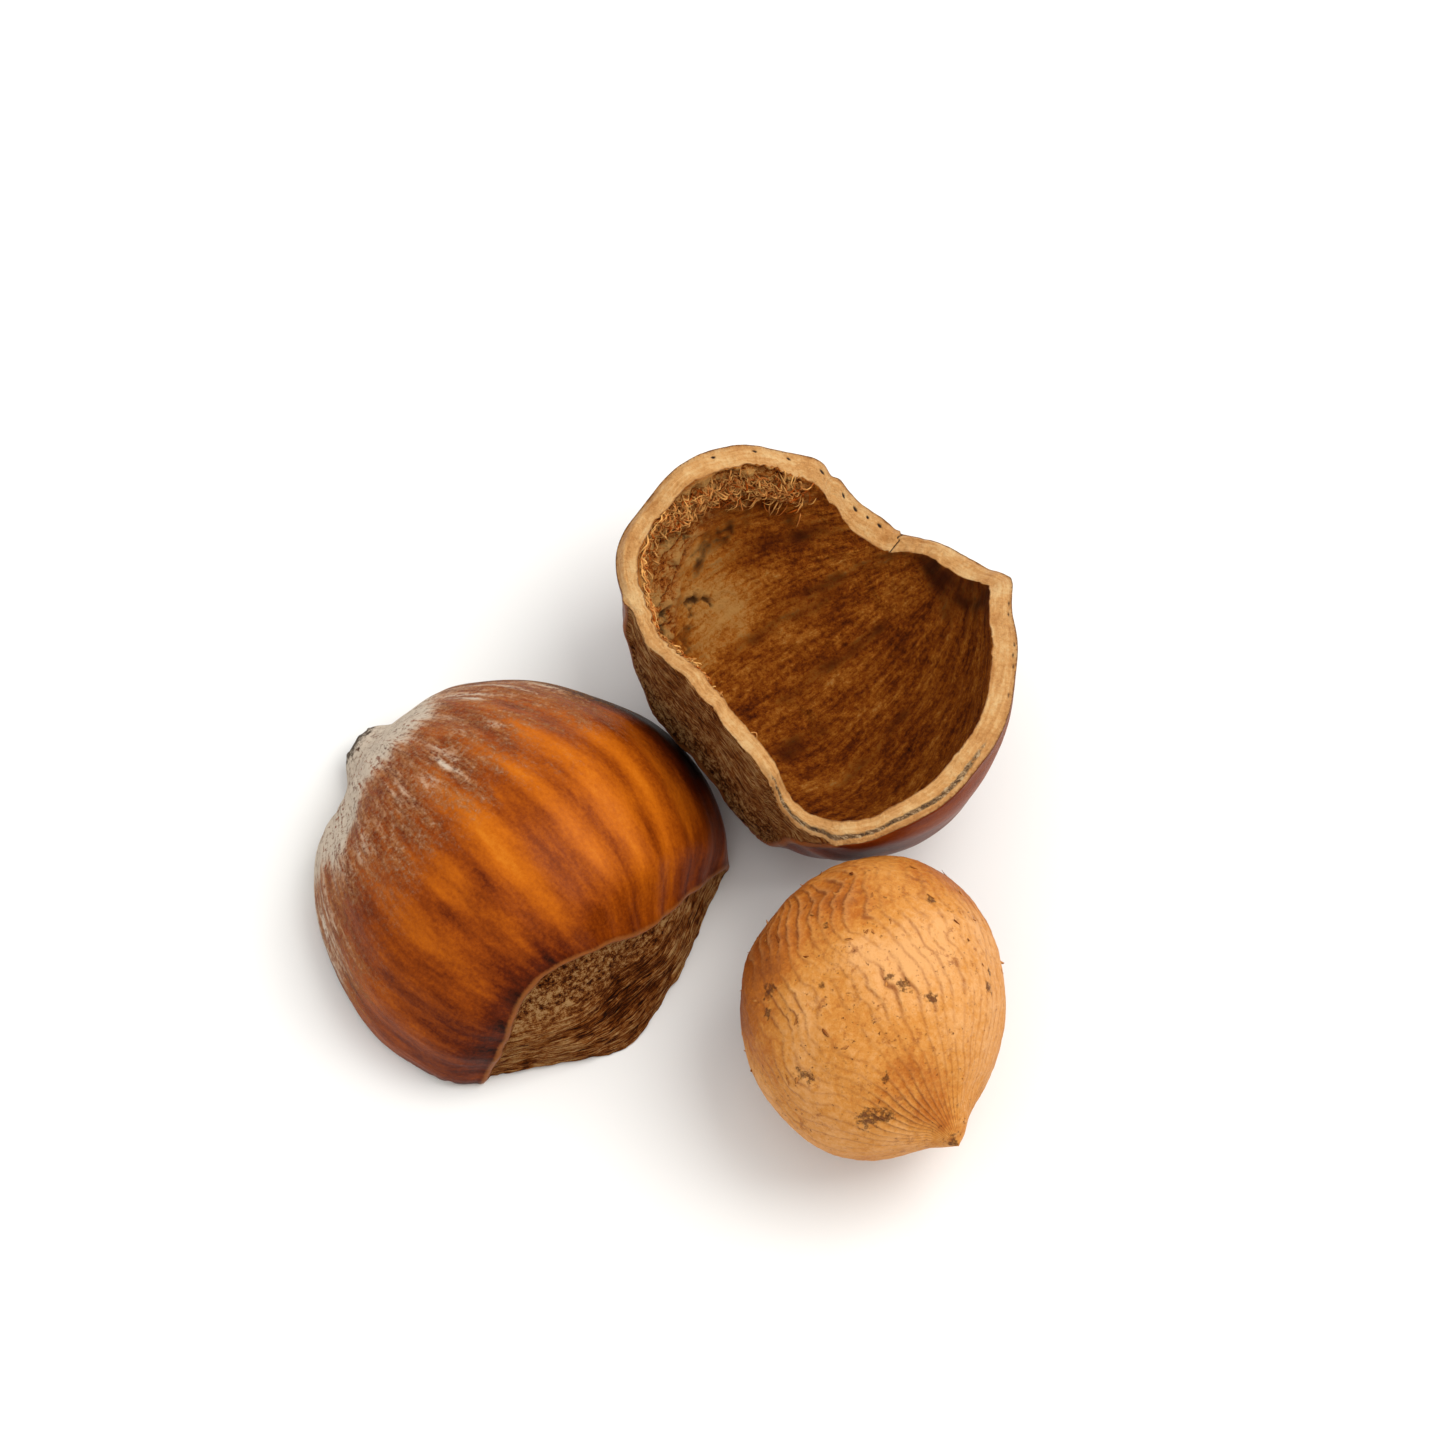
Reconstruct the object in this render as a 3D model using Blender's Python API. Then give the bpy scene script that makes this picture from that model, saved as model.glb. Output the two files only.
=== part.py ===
# A cracked hazelnut on a table: one half of the shell lying dome up, the other half lying open, and the
# skinned kernel beside them. Sizes are in millimetres in the constants and in metres in the meshes.
import math

import bpy
import numpy as np

MM = 0.001

# Profile of the nut along its length: degrees from the tip, distance from the centre in millimetres.
SIDE_PROFILE = ((0, 10.9), (8, 10.75), (20, 10.5), (32, 10.7), (50, 10.7), (70, 10.9), (92, 11.5), (110, 11.6),
                (124, 11.6), (133, 11.0))
DOMED_BASE = ((145, 10.5), (160, 10.5), (180, 10.8))
OPEN_BASE = ((145, 9.85), (160, 8.7), (180, 8.15))
DEPTH_SHARE = 0.95          # thickness across the crack over the width
WALL = 1.25                 # shell thickness of the domed half
NIB_HEIGHT = 1.1            # stub at the tip of the nut
NIB_RADIUS = 0.85
RIB_HEIGHT = 0.05           # soft lengthwise ribs of the shell
RIB_COUNT = 22

# Edge of the rough scar at the base: degrees round the axis, degrees from the tip.
SCAR_EDGE = ((-175, 127), (-158, 134), (-125, 130), (-93, 142), (-63, 136), (-40, 131), (-2, 132), (25, 134),
             (62, 130), (85, 137), (110, 143), (135, 140), (155, 135))
SCAR_DEPTH = 0.22           # the scar lies this far below the glossy shell
# Swellings and hollows: degrees round the crack, degrees out of it, height, spread in degrees.
DOMED_BUMPS = ((-180, 20, -0.8, 12), (172, -3, 0.5, 13), (-130, 0, 0.35, 9), (85, 0, -0.4, 24),
               (112, 0, -0.2, 12), (-20, 10, 0.3, 10))
OPEN_BUMPS = ((-48, 0, -0.5, 20), (-15, -5, 0.45, 9), (154, -38, 0.45, 14), (-148, -40, 0.5, 12),
              (98, 0, -0.1, 22), (132, -12, -0.5, 11))
# Shell thickness of the open half round the crack.
OPEN_WALL = ((-180, 1.2), (-137, 1.3), (-90, 1.3), (-60, 1.5), (-35, 1.5), (0, 1.3), (30, 1.2), (60, 1.3),
             (100, 1.35), (130, 1.35), (155, 1.25))

# How each half lies: yaw turns the tip from +X, pitch lifts the tip, roll lifts the +w side.
DOMED_POSE = {"at": (-11.7, -8.42, 0.62), "yaw": 133.2, "pitch": 3.2, "roll": 0.0}
OPEN_POSE = {"at": (5.6, 2.12, 10.84), "yaw": 38.1, "pitch": -4.9, "roll": 3.7}
# Lean towards one side, skew of the tip, extra breadth: shares of the radius.
DOMED_LOBES = (-0.040, -0.038, 0.006)
OPEN_LOBES = (0.020, 0.042, 0.051)

# Height of the domed half's rim over the table round the crack; the three zeros are its feet.
DOMED_RIM = ((-180, 0.0), (-150, 0.25), (-110, 0.3), (-75, 0.15), (-50, 0.0), (-25, 0.3), (0, 0.42), (25, 0.3),
             (50, 0.0), (85, 0.2), (110, 0.1), (126, 0.3), (134, 0.1), (155, 0.2))
# Crack of the open half: degrees round the crack plane, degrees out of it. The dip is the notch at the tip.
OPEN_RIM = ((-180, 5), (-165, 4), (-150, 4), (-137, -5), (-122, 0), (-100, 1.5), (-80, 3), (-60, 3), (-35, -1),
            (-15, -5), (-4, -12), (8, -16), (16, -21), (25, -26), (36, -24), (45, -18), (55, -10), (65, -4),
            (80, 2), (98, 3), (115, -3), (130, -7), (142, -5), (155, 1))
RIM_WAVE = 0.5              # degrees of small waves along the crack

DOMED_HALF = {"base": DOMED_BASE, "lobes": DOMED_LOBES, "bumps": DOMED_BUMPS, "wall": ((-180, WALL), (0, WALL))}
OPEN_HALF = {"base": OPEN_BASE, "lobes": OPEN_LOBES, "bumps": OPEN_BUMPS, "wall": OPEN_WALL}

KERNEL_PROFILE = ((0, 9.2), (4, 8.8), (10, 8.15), (18, 7.75), (30, 7.6), (50, 7.5), (75, 7.25), (100, 7.3),
                  (130, 7.65), (155, 7.65), (180, 7.8))
KERNEL_POSE = {"at": (8.1, -17.85, 7.06), "yaw": -62.5, "pitch": 3.4, "roll": 0.0}
KERNEL_LEAN = (-0.018, -0.010, -0.16)
KERNEL_RIDGE = 0.09         # height of the wavy growth ridges
FLAT_SPOT = 0.12            # how far a rounded belly is flattened where it rests

SHELL_COLUMNS = 66          # columns round the crack away from the nib
NIB_COLUMNS = 14
SHELL_RINGS = 15
KERNEL_COLUMNS = 52
KERNEL_ROWS = 28


def smooth_curve(x, rows):
    """Smooth curve through rows of (x, value)."""
    xs, ys = np.array(rows, float).T
    slopes = np.gradient(ys, xs)
    x = np.clip(x, xs[0], xs[-1])
    i = np.clip(np.searchsorted(xs, x, side="right") - 1, 0, len(xs) - 2)
    step = xs[i + 1] - xs[i]
    t = (x - xs[i]) / step
    start = (2 * t**3 - 3 * t**2 + 1) * ys[i] + (t**3 - 2 * t**2 + t) * step * slopes[i]
    end = (3 * t**2 - 2 * t**3) * ys[i + 1] + (t**3 - t**2) * step * slopes[i + 1]
    return start + end


def round_curve(degrees, rows):
    """Smooth curve that repeats every 360 degrees."""
    before = [(x - 360, y) for x, y in rows]
    after = [(x + 360, y) for x, y in rows]
    return smooth_curve((degrees + 180) % 360 - 180, before + list(rows) + after)


def smooth_step(x, low, high):
    """0 below low, 1 above high, smooth between."""
    t = np.clip((x - low) / (high - low), 0, 1)
    return t * t * (3 - 2 * t)


def direction(theta, phi):
    """Unit vectors (towards the tip, across, out of the crack plane) for angles in radians."""
    return np.stack([np.cos(phi) * np.cos(theta), np.cos(phi) * np.sin(theta), np.sin(phi)], axis=-1)


def angles_about_axis(n):
    """Degrees from the tip and degrees round the long axis."""
    from_tip = np.degrees(np.arccos(np.clip(n[..., 0], -1, 1)))
    around = np.degrees(np.arctan2(n[..., 2], n[..., 1]))
    return from_tip, around


def egg_radius(n, profile, depth_share):
    """Distance of the surface from the centre for a flattened body with this profile."""
    q = n / np.array([1.0, 1.0, depth_share])
    size = np.linalg.norm(q, axis=-1)
    from_tip = np.degrees(np.arccos(np.clip(q[..., 0] / size, -1, 1)))
    return smooth_curve(from_tip, profile) / size


def shell_radius(n, half):
    """Plain shell surface, without nib, ribs or scar."""
    along, across = n[..., 0], n[..., 1]
    lean, skew, breadth = half["lobes"]
    egg = egg_radius(n, SIDE_PROFILE + half["base"], DEPTH_SHARE)
    return egg * (1 + lean * across + skew * along * across + breadth * across**2) + bumps(n, half["bumps"])


def outer_radius(n, half):
    """Outer face of the shell with its nib, soft ribs and sunken scar."""
    from_tip, around = angles_about_axis(n)
    radius = shell_radius(n, half)
    nib_angle = math.degrees(NIB_RADIUS / SIDE_PROFILE[0][1])
    radius = radius + NIB_HEIGHT * (1 - smooth_step(from_tip, 0.7 * nib_angle, 1.6 * nib_angle))
    scar = smooth_step(from_tip - round_curve(around, SCAR_EDGE), 0, 7)
    ribs = np.sin(np.radians(RIB_COUNT * around)) * smooth_step(from_tip, 12, 35) * (1 - scar)
    return radius + RIB_HEIGHT * ribs - SCAR_DEPTH * scar


def bumps(n, rows):
    """Sum of the local swellings and hollows."""
    total = np.zeros(n.shape[:-1])
    for round_crack, out_of_crack, height, spread in rows:
        centre = direction(math.radians(round_crack), math.radians(out_of_crack))
        off = np.degrees(np.arccos(np.clip(n @ centre, -1, 1)))
        total = total + height * np.exp(-(off / spread)**2)
    return total


def turn(pose):
    """Columns are the body's own axes (tip, across, out) in the world."""
    yaw, pitch, roll = (math.radians(pose[key]) for key in ("yaw", "pitch", "roll"))
    about_z = np.array([(math.cos(yaw), -math.sin(yaw), 0), (math.sin(yaw), math.cos(yaw), 0), (0, 0, 1)])
    about_y = np.array([(math.cos(pitch), 0, -math.sin(pitch)), (0, 1, 0), (math.sin(pitch), 0, math.cos(pitch))])
    about_x = np.array([(1, 0, 0), (0, math.cos(roll), -math.sin(roll)), (0, math.sin(roll), math.cos(roll))])
    return about_z @ about_y @ about_x


def place(points, pose):
    return points @ turn(pose).T + np.array(pose["at"])


def shell_angles():
    """Angles round the crack, closer together at the nib."""
    fine = np.linspace(-12, 12, NIB_COLUMNS, endpoint=False)
    wide = np.linspace(12, 348, SHELL_COLUMNS, endpoint=False)
    return np.radians(np.concatenate([fine, wide]))


def inner_radius(n, half):
    theta = np.degrees(np.arctan2(n[..., 1], n[..., 0]))
    return shell_radius(n, half) - round_curve(theta, half["wall"])


def domed_crack(theta):
    """Angle out of the crack plane at which the rim has its given height over the table."""
    height = round_curve(np.degrees(theta), DOMED_RIM)
    upright = turn(DOMED_POSE)[2]
    phi = np.zeros_like(theta)
    for _ in range(12):
        n = direction(theta, phi)
        z = DOMED_POSE["at"][2] + outer_radius(n, DOMED_HALF) * (n @ upright)
        phi = phi + (height - z) / 11.0
    return phi


def open_crack(theta):
    waves = np.sin(9 * theta + 1.0) + 0.7 * np.sin(16 * theta)
    return np.radians(round_curve(np.degrees(theta), OPEN_RIM) + RIM_WAVE * waves)


def cap_grid(radius_of, half, theta, crack, side):
    """Rings of points from the crack to the middle of the cap, then the middle point."""
    share = np.linspace(0, 1, SHELL_RINGS + 1)[:-1]**1.25
    rings = []
    for t in share:
        n = direction(theta, crack + (side * math.pi / 2 - crack) * t)
        rings.append(n * radius_of(n, half)[:, None])
    middle = np.array([[0.0, 0.0, side]])
    rings.append(middle * radius_of(middle, half)[:, None])
    return rings


def join_rings(rings_a, rings_b, faces, flip=False):
    """Triangles between two rings of vertex numbers of the same length."""
    count = len(rings_a)
    for j in range(count):
        k = (j + 1) % count
        for face in ((rings_a[j], rings_a[k], rings_b[k]), (rings_a[j], rings_b[k], rings_b[j])):
            faces.append(face[::-1] if flip else face)


def close_cap(ring, middle, faces, flip=False):
    count = len(ring)
    for j in range(count):
        face = (ring[j], ring[(j + 1) % count], middle)
        faces.append(face[::-1] if flip else face)


def number_rings(grids):
    """Vertex numbers of each ring when the rings are stacked in order."""
    numbers = []
    start = 0
    for ring in grids:
        numbers.append(list(range(start, start + len(ring))))
        start += len(ring)
    return numbers


def shell_half(half, theta, crack, side):
    """Closed half shell: outer cap, rim and inner cap."""
    outside = cap_grid(outer_radius, half, theta, crack, side)
    inside = cap_grid(inner_radius, half, theta, crack, side)
    numbers = number_rings(outside + inside)
    out, within = numbers[:len(outside)], numbers[len(outside):]
    faces = []
    below = side < 0
    for a, b in zip(out[:-2], out[1:-1]):
        join_rings(a, b, faces, flip=below)
    close_cap(out[-2], out[-1][0], faces, flip=below)
    for a, b in zip(within[:-2], within[1:-1]):
        join_rings(a, b, faces, flip=not below)
    close_cap(within[-2], within[-1][0], faces, flip=not below)
    join_rings(within[0], out[0], faces, flip=below)
    return np.concatenate(outside + inside), faces


def flatten_belly(points, depth):
    """Flatten the lowest part so that it rests on a small flat spot at z = 0."""
    points = points.copy()
    points[:, 2] -= points[:, 2].min() + depth
    points[:, 2] = np.maximum(points[:, 2], 0)
    return points


def domed_half():
    theta = shell_angles()
    points, faces = shell_half(DOMED_HALF, theta, domed_crack(theta), 1)
    points = place(points, DOMED_POSE)
    points[:, 2] = np.maximum(points[:, 2] - points[:, 2].min() - 0.03, 0)
    return points, faces


def open_half():
    theta = shell_angles()
    points, faces = shell_half(OPEN_HALF, theta, open_crack(theta), -1)
    return flatten_belly(place(points, OPEN_POSE), FLAT_SPOT), faces


def kernel_radius(n):
    from_tip, around = angles_about_axis(n)
    along, across, out = n[..., 0], n[..., 1], n[..., 2]
    lean, lift, skew = KERNEL_LEAN
    plain = egg_radius(n, KERNEL_PROFILE, DEPTH_SHARE) * (1 + lean * across + lift * out + skew * along * across)
    wander = 18 * np.sin(np.radians(3 * from_tip)) + 9 * np.sin(np.radians(7 * from_tip + 2 * around))
    ridges = np.sin(np.radians(12 * around + wander)) * np.sin(np.radians(np.clip(from_tip - 8, 0, 172)))
    return plain + KERNEL_RIDGE * ridges


def kernel():
    around = np.linspace(0, 2 * math.pi, KERNEL_COLUMNS, endpoint=False)
    from_tip = np.radians(np.concatenate([[3, 6, 10, 15], np.linspace(20, 174, KERNEL_ROWS - 4)]))
    rings = [np.array([[kernel_radius(np.array([1.0, 0, 0])), 0, 0]])]
    for angle in from_tip:
        n = np.stack([np.full_like(around, math.cos(angle)), math.sin(angle) * np.cos(around),
                      math.sin(angle) * np.sin(around)], axis=-1)
        rings.append(n * kernel_radius(n)[:, None])
    rings.append(np.array([[-kernel_radius(np.array([-1.0, 0, 0])), 0, 0]]))
    numbers = number_rings(rings)
    faces = []
    close_cap(numbers[1], numbers[0][0], faces, flip=False)
    for a, b in zip(numbers[1:-2], numbers[2:-1]):
        join_rings(b, a, faces)
    close_cap(numbers[-2], numbers[-1][0], faces, flip=True)
    return flatten_belly(place(np.concatenate(rings), KERNEL_POSE), FLAT_SPOT), faces


def material(name, colour, roughness):
    made = bpy.data.materials.new(name)
    made.use_nodes = True
    surface = made.node_tree.nodes["Principled BSDF"]
    surface.inputs["Base Color"].default_value = (*colour, 1)
    surface.inputs["Roughness"].default_value = roughness
    return made


def add_object(name, points, faces, look):
    mesh = bpy.data.meshes.new(name)
    mesh.from_pydata((points * MM).tolist(), [], faces)
    mesh.update()
    made = bpy.data.objects.new(name, mesh)
    bpy.context.scene.collection.objects.link(made)
    mesh.materials.append(look)


def clear_scene():
    for item in list(bpy.data.objects):
        bpy.data.objects.remove(item, do_unlink=True)


def build():
    clear_scene()
    pieces = {
        "shell_half_domed": (*domed_half(), material("glossy_brown_shell", (0.36, 0.12, 0.02), 0.35)),
        "shell_half_open": (*open_half(), material("pale_broken_shell", (0.52, 0.30, 0.12), 0.7)),
        "kernel": (*kernel(), material("papery_kernel_skin", (0.62, 0.31, 0.09), 0.6)),
    }
    every = np.concatenate([points for points, _, _ in pieces.values()])
    middle = (every.min(axis=0) + every.max(axis=0)) / 2
    middle[2] = 0.0
    for name, (points, faces, look) in pieces.items():
        add_object(name, points - middle, faces, look)


build()
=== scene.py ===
# Looks of a cracked hazelnut on a white table: the domed half of the shell, the open half and the kernel.
import itertools
import math

import bpy
import numpy as np
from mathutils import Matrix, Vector


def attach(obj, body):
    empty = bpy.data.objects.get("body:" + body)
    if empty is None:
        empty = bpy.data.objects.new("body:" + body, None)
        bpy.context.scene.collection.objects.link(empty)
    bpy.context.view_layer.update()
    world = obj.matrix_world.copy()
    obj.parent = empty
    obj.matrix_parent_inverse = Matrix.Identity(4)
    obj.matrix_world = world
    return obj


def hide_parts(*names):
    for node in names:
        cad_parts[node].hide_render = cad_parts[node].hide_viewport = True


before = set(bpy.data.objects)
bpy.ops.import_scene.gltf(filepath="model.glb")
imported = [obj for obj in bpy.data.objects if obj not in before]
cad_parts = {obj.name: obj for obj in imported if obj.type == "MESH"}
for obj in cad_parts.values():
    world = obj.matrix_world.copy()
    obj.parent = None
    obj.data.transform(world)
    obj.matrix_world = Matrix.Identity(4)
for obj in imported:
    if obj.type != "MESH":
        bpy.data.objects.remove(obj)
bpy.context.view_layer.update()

MM = 0.001

# Camera: the photograph's angle from above, its scale at the nut and a far, nearly parallel view.
PICTURE_SIDE = 1445
PIXELS_PER_MM = 18.6
CAMERA_ELEVATION = 65.0
CAMERA_DISTANCE = 450.0
AIM_HEIGHT = 4.0
GROUP_MIDDLE = (-3.0647, -6.2948)   # middle of the group, in the millimetres that the poses use

# Light: a white room, and a soft window to the right.
ROOM_LIGHT = 1.06
WINDOW_AT = (0.30, 0.07, 0.52)
WINDOW_SIDE = 0.40
WINDOW_WATTS = 2.7
WINDOW_COLOUR = (1.0, 0.98, 0.94)
ROOM_COLOUR = (1.0, 0.985, 0.96, 1)
LIGHT_LEVEL = 1.42          # surfaces look this much brighter than their pigment
FLOOR_COLOUR = (0.78, 0.78, 0.775, 1)
FLOOR_REACH = 3.0           # metres from the middle to each side

# Mean distance of each surface from the nut's centre, in millimetres, and degrees to a millimetre on it.
SHELL_SIZE = 11.0
LINING_SIZE = 10.0
KERNEL_SIZE = 7.6
DEGREES_PER_MM = 5.2
GRAIN_GIRTH = 9.0           # girth radius at which the grain from tip to base is spaced
KERNEL_GIRTH = 7.5          # turns lengths on the kernel's skin into angles

# Profile of the nut along its length: degrees from the tip, distance from the centre in millimetres.
SIDE_PROFILE = ((0, 10.9), (8, 10.9), (14, 10.75), (20, 10.6), (32, 10.7), (50, 10.7), (70, 10.9),
                (92, 11.5), (110, 11.6), (124, 11.6), (133, 11.0))
DOMED_BASE = ((145, 10.5), (160, 10.5), (180, 10.8))
OPEN_BASE = ((145, 9.85), (160, 8.7), (180, 8.15))
DEPTH_SHARE = 0.95          # depth of the nut out of the crack plane, against its width
NIB_HEIGHT = 0.75
NIB_FLARE = (13.0, 4.6)     # degrees from the tip where the nib starts and where it is full
RIB_HEIGHT = 0.05
RIB_COUNT = 22

# Edge of the rough scar at the base: degrees round the axis, degrees from the tip.
SCAR_EDGE = ((-175, 127), (-158, 134), (-125, 130), (-93, 142), (-63, 136), (-40, 131), (-2, 132),
             (25, 134), (62, 130), (85, 137), (110, 143), (135, 140), (155, 135))
SCAR_DEPTH = 0.24
# Swellings and hollows: degrees round the crack, degrees out of it, height, spread in degrees.
DOMED_BUMPS = ((-180, 20, -0.8, 12), (172, -3, 0.65, 13), (-130, 0, 0.35, 9), (88, 0, -0.55, 22),
               (112, 0, -0.2, 12), (-22, 12, 0.4, 12), (17, 8, -0.6, 10), (-84, 14, 0.22, 20),
               (-45, 25, 0.25, 16), (-112, 8, 0.35, 14), (31, 26, -0.5, 10), (-150, 2, 0.3, 12))
OPEN_BUMPS = ((-48, 0, -0.4, 18), (-30, -4, -0.3, 9), (-15, -5, 0.25, 9), (154, -38, 0.45, 14),
              (-148, -40, 0.6, 12), (98, 0, -0.1, 22), (132, -10, -0.5, 10), (112, -9, 0.45, 9),
              (-100, -32, 0.4, 22), (-88, 6, -0.3, 14))
# Shell thickness round the crack.
DOMED_WALL = ((-180, 1.25), (0, 1.25))
OPEN_WALL = ((-180, 1.15), (-150, 1.25), (-128, 1.15), (-90, 1.35), (-60, 1.45), (-35, 1.3), (0, 1.3),
             (30, 1.2), (60, 1.2), (85, 1.15), (105, 1.25), (120, 1.2), (135, 1.15), (155, 1.25))
OPEN_CORNER = (-14, 0.35, 6)    # sharp bend in the open half's wall: degrees round the crack, height, width

# How each piece lies: yaw turns the tip from +X, pitch lifts the tip, roll lifts the +w side.
DOMED_POSE = {"at": (-11.7, -8.42, 0.597), "yaw": 133.2, "pitch": 3.2, "roll": 0.0}
OPEN_POSE = {"at": (5.6, 2.12, 10.719), "yaw": 38.1, "pitch": -4.9, "roll": 3.7}
# How each half departs from an egg: lean, skew, breadth.
DOMED_LOBES = (-0.040, -0.038, 0.006)
OPEN_LOBES = (0.020, 0.042, 0.051)

# Height of the domed half's rim over the table round the crack.
DOMED_RIM = ((-180, 0.0), (-150, 0.25), (-110, 0.3), (-75, 0.15), (-50, 0.0), (-25, 0.3), (0, 0.42),
             (25, 0.3), (50, 0.0), (85, 0.2), (110, 0.1), (126, 0.3), (134, 0.1), (155, 0.2))
# Crack of the open half: degrees round the crack plane, degrees out of it. The dip is the notch at the tip.
OPEN_RIM = ((-180, 3), (-165, 3), (-152, 4), (-146, 2), (-141, -4), (-134, -5), (-122, -0.5), (-110, 3),
            (-98, 6), (-80, 7), (-60, 5), (-35, -1), (-15, -6), (-6, -12), (2, -16.5), (10, -18.5), (18, -22),
            (26, -25.8), (36, -24), (45, -18.3), (52, -11), (60, -6), (70, -1.5), (80, 1.5), (98, 3),
            (115, -3), (130, -7), (142, -7.5), (155, -2), (168, 1))
RIM_WAVE = 0.5              # degrees
# How much lower the inner and the outer line of the open half's broken edge lie, in millimetres.
INNER_DROP = ((-180, 0), (-60, 0), (-20, 0.2), (-6, 0.5), (14, 0.6), (25, 0.9), (38, 1.1), (50, 0.9),
              (60, 0.45), (74, 0.1), (90, 0), (150, 0))
OUTER_DROP = ((-180, 0), (-154, 0.1), (-147, 0.5), (-132, 0.35), (-90, 0.3), (-55, 0.1), (-20, 0.1),
              (0, 0.25), (20, 0.35), (30, 0.1), (60, 0.05), (92, 0.1), (108, 0.6), (120, 0.7), (130, 0.2),
              (150, 0.1))
NOTCH_CRACK = 24.0          # degrees round the crack where a hairline crosses the broken edge
# Dark pores and dashes in the broken edge: degrees round the crack.
PORES = (84, 72, 62, 52, 44.5, 40, 35.5, 31.0)
DASHES = (-23, -27, -39, -43, -47, -58)

DOMED_HALF = {"base": DOMED_BASE, "lobes": DOMED_LOBES, "bumps": DOMED_BUMPS, "wall": DOMED_WALL,
              "corner": None}
OPEN_HALF = {"base": OPEN_BASE, "lobes": OPEN_LOBES, "bumps": OPEN_BUMPS, "wall": OPEN_WALL,
             "corner": OPEN_CORNER}

# Lighter stripes from tip to base: degrees round the axis, half width, how much lighter.
STRIPES = ((22, 4, 0.10), (49, 5, 0.20), (66, 4, 0.14), (82, 4.5, 0.34), (103, 4.5, 0.24), (116, 3.5, 0.30),
           (129, 4, 0.26), (143, 4, 0.14))
# Darker streaks of the lining: degrees round the axis, degrees from the tip at both ends, half width.
LINING_STREAKS = ((-16, 60, 106, 6.0), (-36, 40, 94, 5.0), (-57, 28, 78, 4.0), (-63, 60, 102, 3.4),
                  (-84, 50, 96, 3.6), (-99, 88, 112, 5.0), (-118, 60, 104, 3.6))
# How far the torn lining reaches below the rim: degrees round the crack, degrees.
TORN_DEPTH = ((-120, 4), (0, 4), (50, 8), (62, 16), (80, 22), (100, 30), (120, 36), (140, 34), (165, 18))
LINING_FIBRES = 1180
# Hollows under the torn lining: degrees round the crack, degrees out of it, depth, half width.
LINING_PITS = ((120, -31, 0.50, 3.4), (125, -36, 0.50, 3.0), (108, -42, 0.35, 2.8), (103, -43, 0.30, 2.4),
               (121, -44, 0.25, 3.2), (105, -18, 0.40, 2.8), (90, -16, 0.25, 2.4),
               (97, -22, 0.30, 2.4), (136, -30, 0.40, 2.6), (139, -19, 0.60, 3.2), (147, -18, 0.60, 3.0))

KERNEL_PROFILE = ((0, 9.2), (4, 8.8), (10, 8.15), (18, 7.75), (30, 7.6), (50, 7.5), (75, 7.25), (100, 7.3),
                  (130, 7.65), (155, 7.65), (180, 7.8))
KERNEL_POSE = {"at": (8.1, -17.85, 6.887), "yaw": -62.5, "pitch": 3.4, "roll": 0.0}
KERNEL_LEAN = (-0.018, -0.010, -0.16)   # to the side, upwards, more so towards the tip
KERNEL_RIDGE = 0.05
KERNEL_KEEL = (58, 0.14, 9)     # soft ridge from the tip: degrees round the axis, height, half width
# Swellings and hollows of the kernel: degrees from the tip, degrees round the axis, height, spread.
KERNEL_BUMPS = ((120, 146, 0.28, 18), (137, 96, -0.35, 9), (70, 178, -0.22, 16), (8, 150, -0.25, 6),
                (24, 104, -0.08, 20))
TERRACES = 50                   # growth ridges round the kernel
TERRACE_HEIGHT = 0.115
KERNEL_FLAKES = 60
# Scabs on the kernel's skin: degrees from the tip, degrees round the axis, radius in millimetres.
SCABS = ((60, 75, 0.34), (63, 147, 0.42), (67, 150, 0.30), (42, 119, 0.30), (35, 148, 0.75),
         (30, 140, 0.45), (70, 86, 0.45), (76, 90, 0.30), (104, 52, 0.32), (62, 33, 0.36),
         (70, 30, 0.28), (103, 142, 0.55), (96, 148, 0.40), (112, 104, 0.22), (88, 118, 0.25))

SHELL_COLUMNS = 430
DOMED_ROWS = (150, 8, 50)   # rows of points outside, across the broken edge and inside
OPEN_ROWS = (56, 18, 112)
KERNEL_GRID = (390, 240)    # columns, rows


def smooth_curve(x, rows):
    """Smooth curve through rows of (x, value)."""
    xs, ys = np.array(rows, float).T
    slopes = np.gradient(ys, xs)
    x = np.clip(x, xs[0], xs[-1])
    i = np.clip(np.searchsorted(xs, x, side="right") - 1, 0, len(xs) - 2)
    step = xs[i + 1] - xs[i]
    t = (x - xs[i]) / step
    start = (2 * t**3 - 3 * t**2 + 1) * ys[i] + (t**3 - 2 * t**2 + t) * step * slopes[i]
    end = (3 * t**2 - 2 * t**3) * ys[i + 1] + (t**3 - t**2) * step * slopes[i + 1]
    return start + end


def round_curve(degrees, rows):
    """Smooth curve that repeats every 360 degrees."""
    before = [(x - 360, y) for x, y in rows]
    after = [(x + 360, y) for x, y in rows]
    return smooth_curve((degrees + 180) % 360 - 180, before + list(rows) + after)


def fade(x, low, high):
    """0 at low, 1 at high, smooth between, for low below or above high."""
    t = np.clip((x - low) / (high - low), 0, 1)
    return t * t * (3 - 2 * t)


def hump(x, middle, spread):
    """1 at the middle, fading to both sides; angles in degrees wrap round."""
    off = (x - middle + 180) % 360 - 180
    return np.exp(-(off / spread)**2)


def lumps(points, size, seed):
    """Smooth random values from -1 to 1 at points in millimetres; size is the distance between lumps."""
    table = np.random.default_rng(seed).uniform(-1, 1, 4096)
    at = points / np.asarray(size, float)
    cell = np.floor(at).astype(np.int64)
    part = at - cell
    part = part * part * (3 - 2 * part)
    total = 0.0
    for corner in itertools.product((0, 1), repeat=3):
        c = cell + corner
        key = (c[..., 0] * 73856093 ^ c[..., 1] * 19349663 ^ c[..., 2] * 83492791) & 4095
        total = total + table[key] * np.prod(np.where(corner, part, 1 - part), axis=-1)
    return total


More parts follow.
